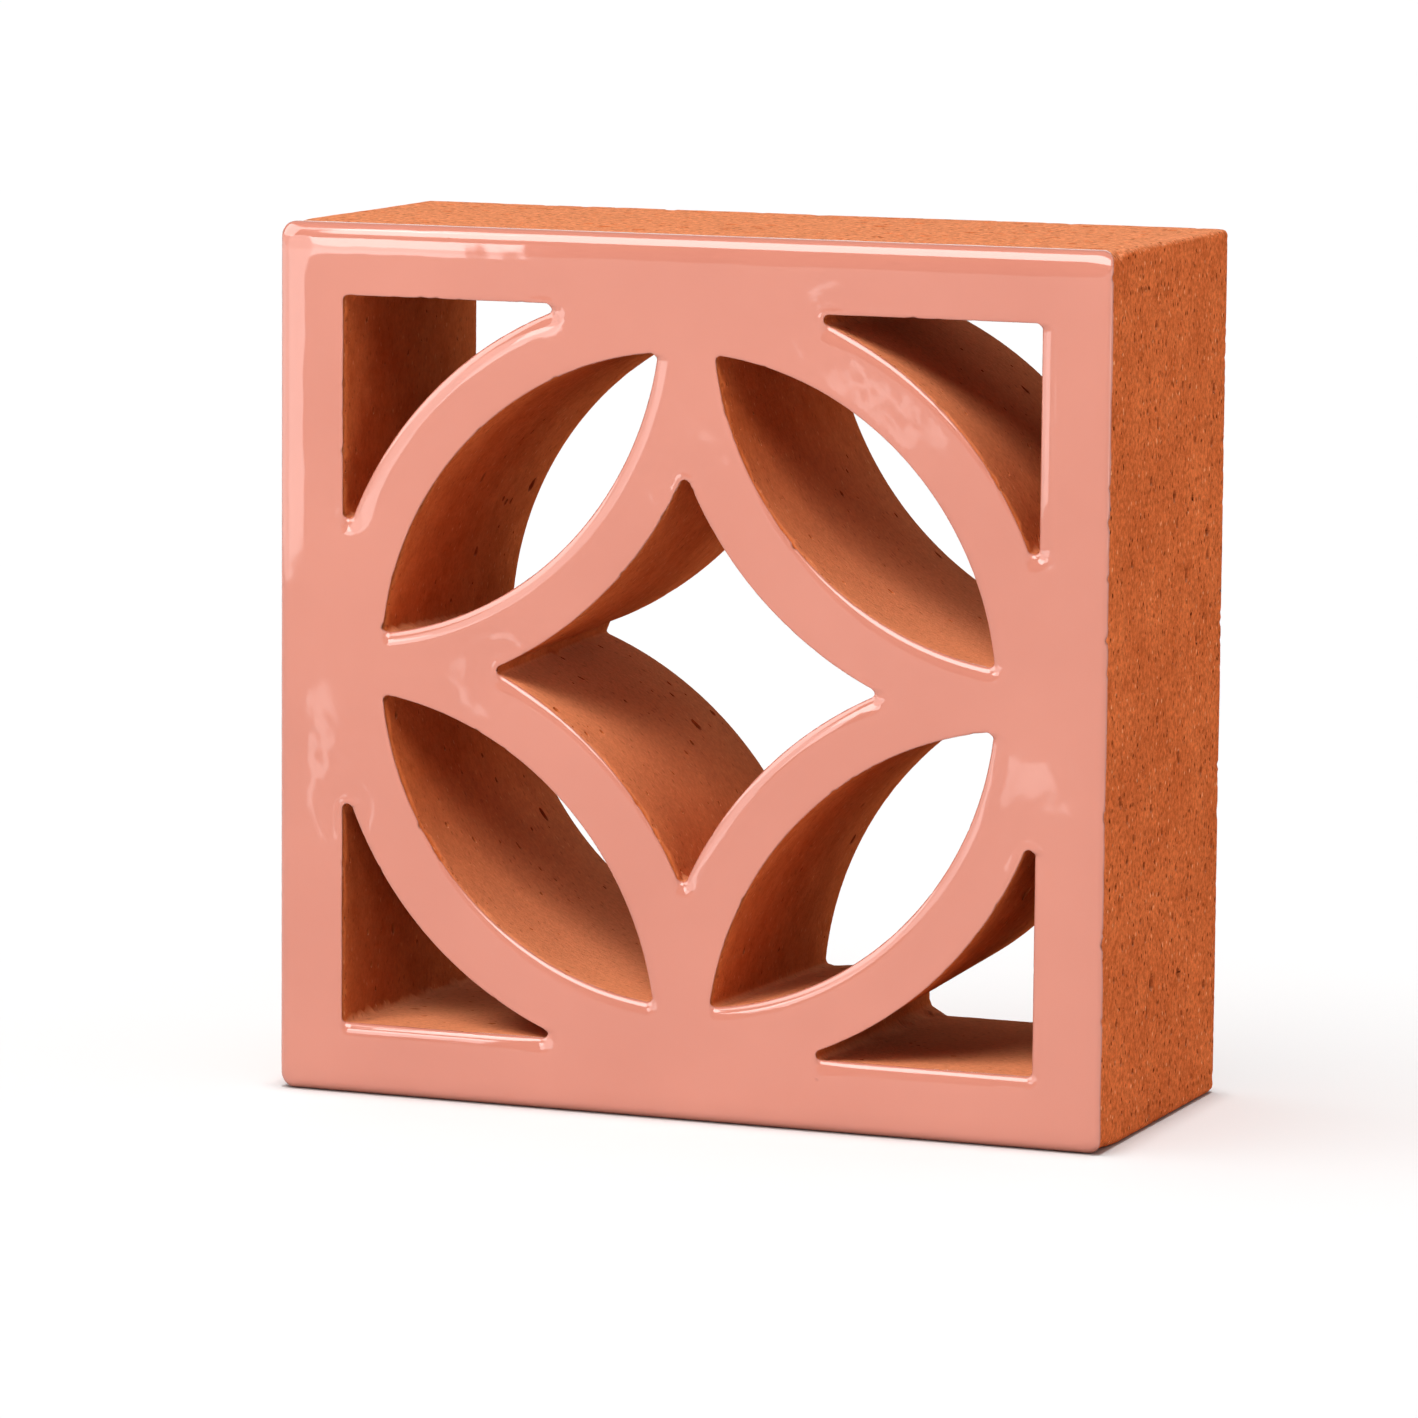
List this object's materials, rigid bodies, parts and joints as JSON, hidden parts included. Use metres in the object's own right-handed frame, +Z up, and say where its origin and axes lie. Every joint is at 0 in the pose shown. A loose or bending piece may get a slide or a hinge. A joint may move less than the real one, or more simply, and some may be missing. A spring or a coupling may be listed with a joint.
{
  "type": "screen block",
  "caption": "Square pierced screen block of fired clay with a glazed face, for stacking into an open wall that lets light and air through a ring-and-arcs pattern.",
  "frame": {"origin": "middle of the bed face that the block stands on", "axes": "+Z up, the glazed face towards -Y, +X to the right as one looks at the glazed face"},
  "size_m": [0.19, 0.08, 0.19],
  "materials": {
    "fired_clay": "bare fired clay on the back, the four edges and the opening walls; a glossy salmon-pink glaze on the face, rolled over its edges and rims"
  },
  "bodies": {
    "root": {"screen_block": "fired_clay"}
  },
  "joints": []
}
